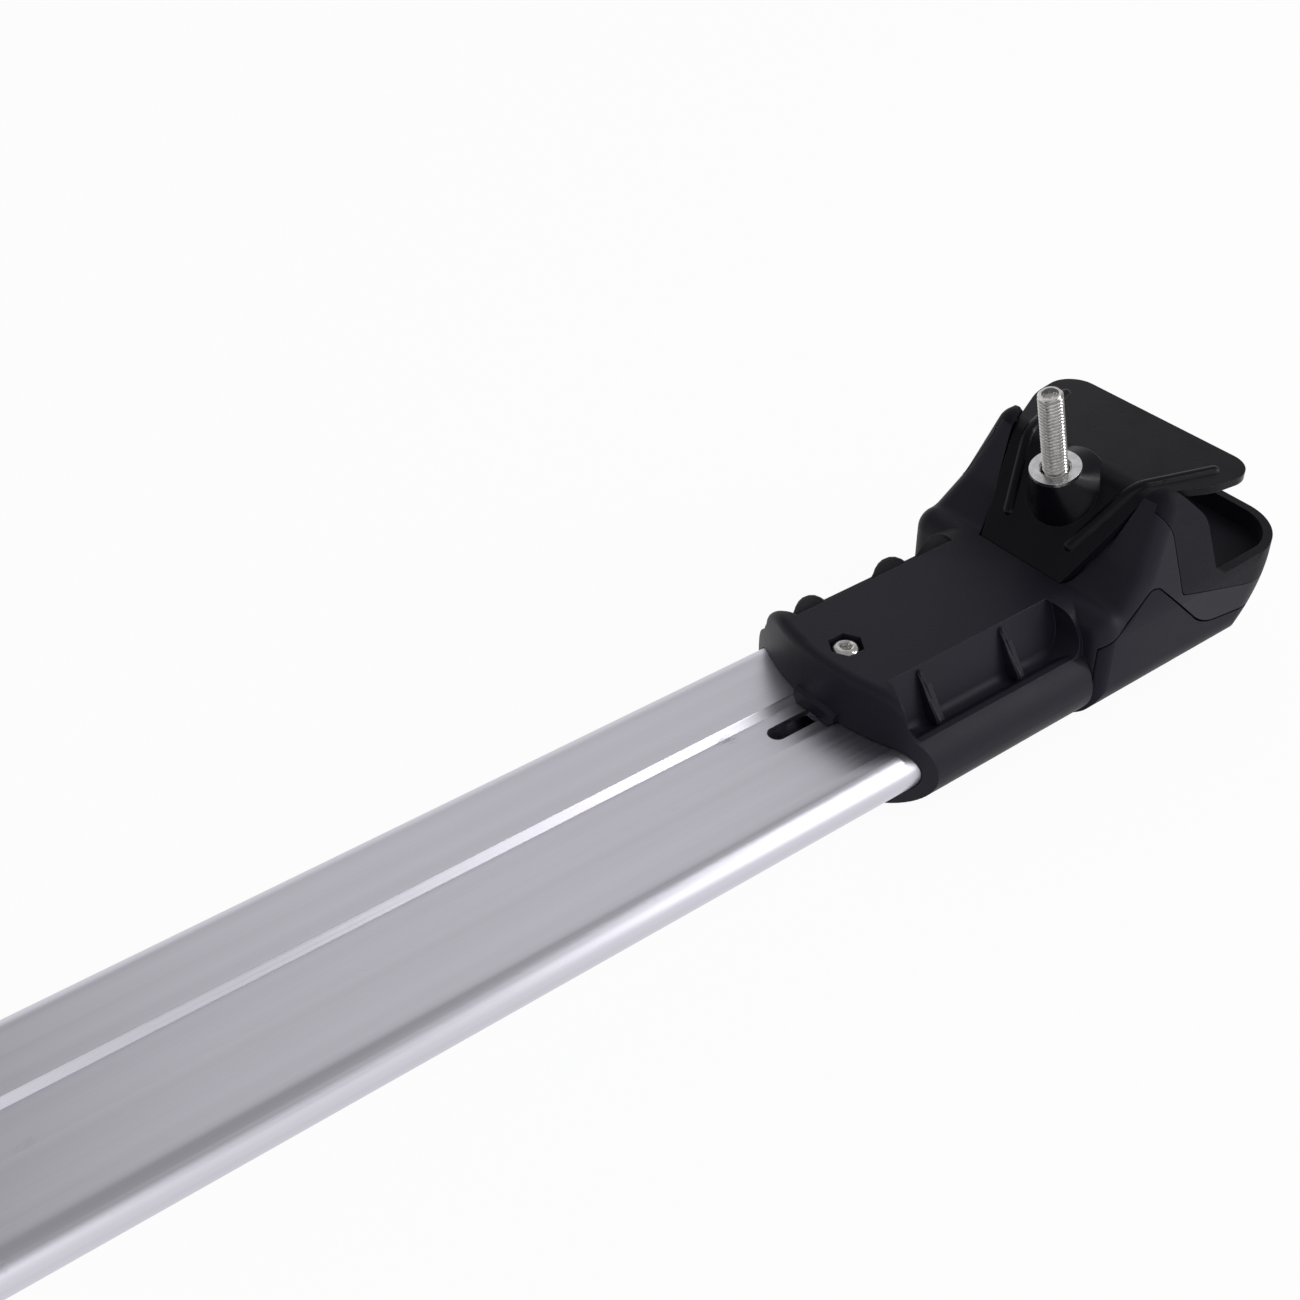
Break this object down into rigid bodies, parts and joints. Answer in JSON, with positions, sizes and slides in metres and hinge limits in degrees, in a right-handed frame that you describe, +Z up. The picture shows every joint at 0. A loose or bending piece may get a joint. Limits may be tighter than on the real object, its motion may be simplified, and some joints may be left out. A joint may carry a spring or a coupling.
{
  "type": "roof rack crossbar",
  "caption": "aluminium aero crossbar with black feet whose screw-driven clamp plates grip raised roof rails over a rubber-lined mouth",
  "frame": {"origin": "centre of the bottom of the bounding box: the middle of the bar's length, on the surface that the crossbar lies on", "axes": "+X along the bar, +Y along the roof rails, +Z up; the crossbar lies upside down, with its clamps and underside facing +Z"},
  "size_m": [1.2, 0.083, 0.1033],
  "materials": {
    "bar": "satin anodised",
    "strip": "matt",
    "housing": "fine textured black",
    "cover": "fine textured black",
    "pad": "smooth matt black",
    "plate": "gloss black coated steel",
    "zinc": "bright zinc plated",
    "steel": "plain zinc plated",
    "lock": "nickel plated"
  },
  "bodies": {
    "bar": {"bar_profile": "bar", "slot_strip": "strip"},
    "right_foot": {"right_foot_housing": "housing", "right_mouth_pad": "pad", "right_cover_hinge_pin": "steel", "right_thrust_washer": "steel", "right_foot_screw": "zinc", "right_slide_nut": "steel"},
    "right_cover": {"right_lock_cover": "cover", "right_lock_barrel": "lock"},
    "right_lock": {"right_lock_plug": "lock", "right_lock_cam": "steel"},
    "right_clamp": {"right_clamp_plate": "plate", "right_clamp_nut": "zinc"},
    "right_bolt": {"right_clamp_bolt": "zinc"},
    "left_foot": {"left_foot_housing": "housing", "left_mouth_pad": "pad", "left_cover_hinge_pin": "steel", "left_thrust_washer": "steel", "left_foot_screw": "zinc", "left_slide_nut": "steel"},
    "left_cover": {"left_lock_cover": "cover", "left_lock_barrel": "lock"},
    "left_lock": {"left_lock_plug": "lock", "left_lock_cam": "steel"},
    "left_clamp": {"left_clamp_plate": "plate", "left_clamp_nut": "zinc"},
    "left_bolt": {"left_clamp_bolt": "zinc"}
  },
  "joints": [
    {"name": "right_foot_slide", "type": "slide", "parent": "bar", "child": "right_foot", "axis": [1, 0, 0], "range_m": [-0.02, 0.013]},
    {"name": "right_cover_hinge", "type": "hinge", "parent": "right_foot", "child": "right_cover", "pos_m": [0.4995, 0, 0.0028], "axis": [0, 1, 0], "range_deg": [0, 55]},
    {"name": "right_lock_turn", "type": "hinge", "parent": "right_cover", "child": "right_lock", "pos_m": [0.564, 0, 0.0065], "axis": [0, 0, -1], "range_deg": [0, 90]},
    {"name": "right_clamp_travel", "type": "slide", "parent": "right_foot", "child": "right_clamp", "axis": [-0.2588, 0, 0.9659], "range_m": [0, 0.01749]},
    {"name": "right_bolt_turn", "type": "hinge", "parent": "right_foot", "child": "right_bolt", "pos_m": [0.5252, 0, 0.0743], "axis": [0.2588, 0, -0.9659], "range_deg": [0, 5040]},
    {"name": "left_foot_slide", "type": "slide", "parent": "bar", "child": "left_foot", "axis": [-1, 0, 0], "range_m": [-0.02, 0.013]},
    {"name": "left_cover_hinge", "type": "hinge", "parent": "left_foot", "child": "left_cover", "pos_m": [-0.4995, 0, 0.0028], "axis": [0, -1, 0], "range_deg": [0, 55]},
    {"name": "left_lock_turn", "type": "hinge", "parent": "left_cover", "child": "left_lock", "pos_m": [-0.564, 0, 0.0065], "axis": [0, 0, 1], "range_deg": [0, 90]},
    {"name": "left_clamp_travel", "type": "slide", "parent": "left_foot", "child": "left_clamp", "axis": [0.2588, 0, 0.9659], "range_m": [0, 0.01749]},
    {"name": "left_bolt_turn", "type": "hinge", "parent": "left_foot", "child": "left_bolt", "pos_m": [-0.5252, 0, 0.0743], "axis": [-0.2588, 0, -0.9659], "range_deg": [0, 5040]}
  ],
  "couplings": [
    {"joint": "right_bolt_turn", "follows": "right_clamp_travel", "rad_per_m": 5026.5},
    {"joint": "left_bolt_turn", "follows": "left_clamp_travel", "rad_per_m": 5026.5}
  ]
}
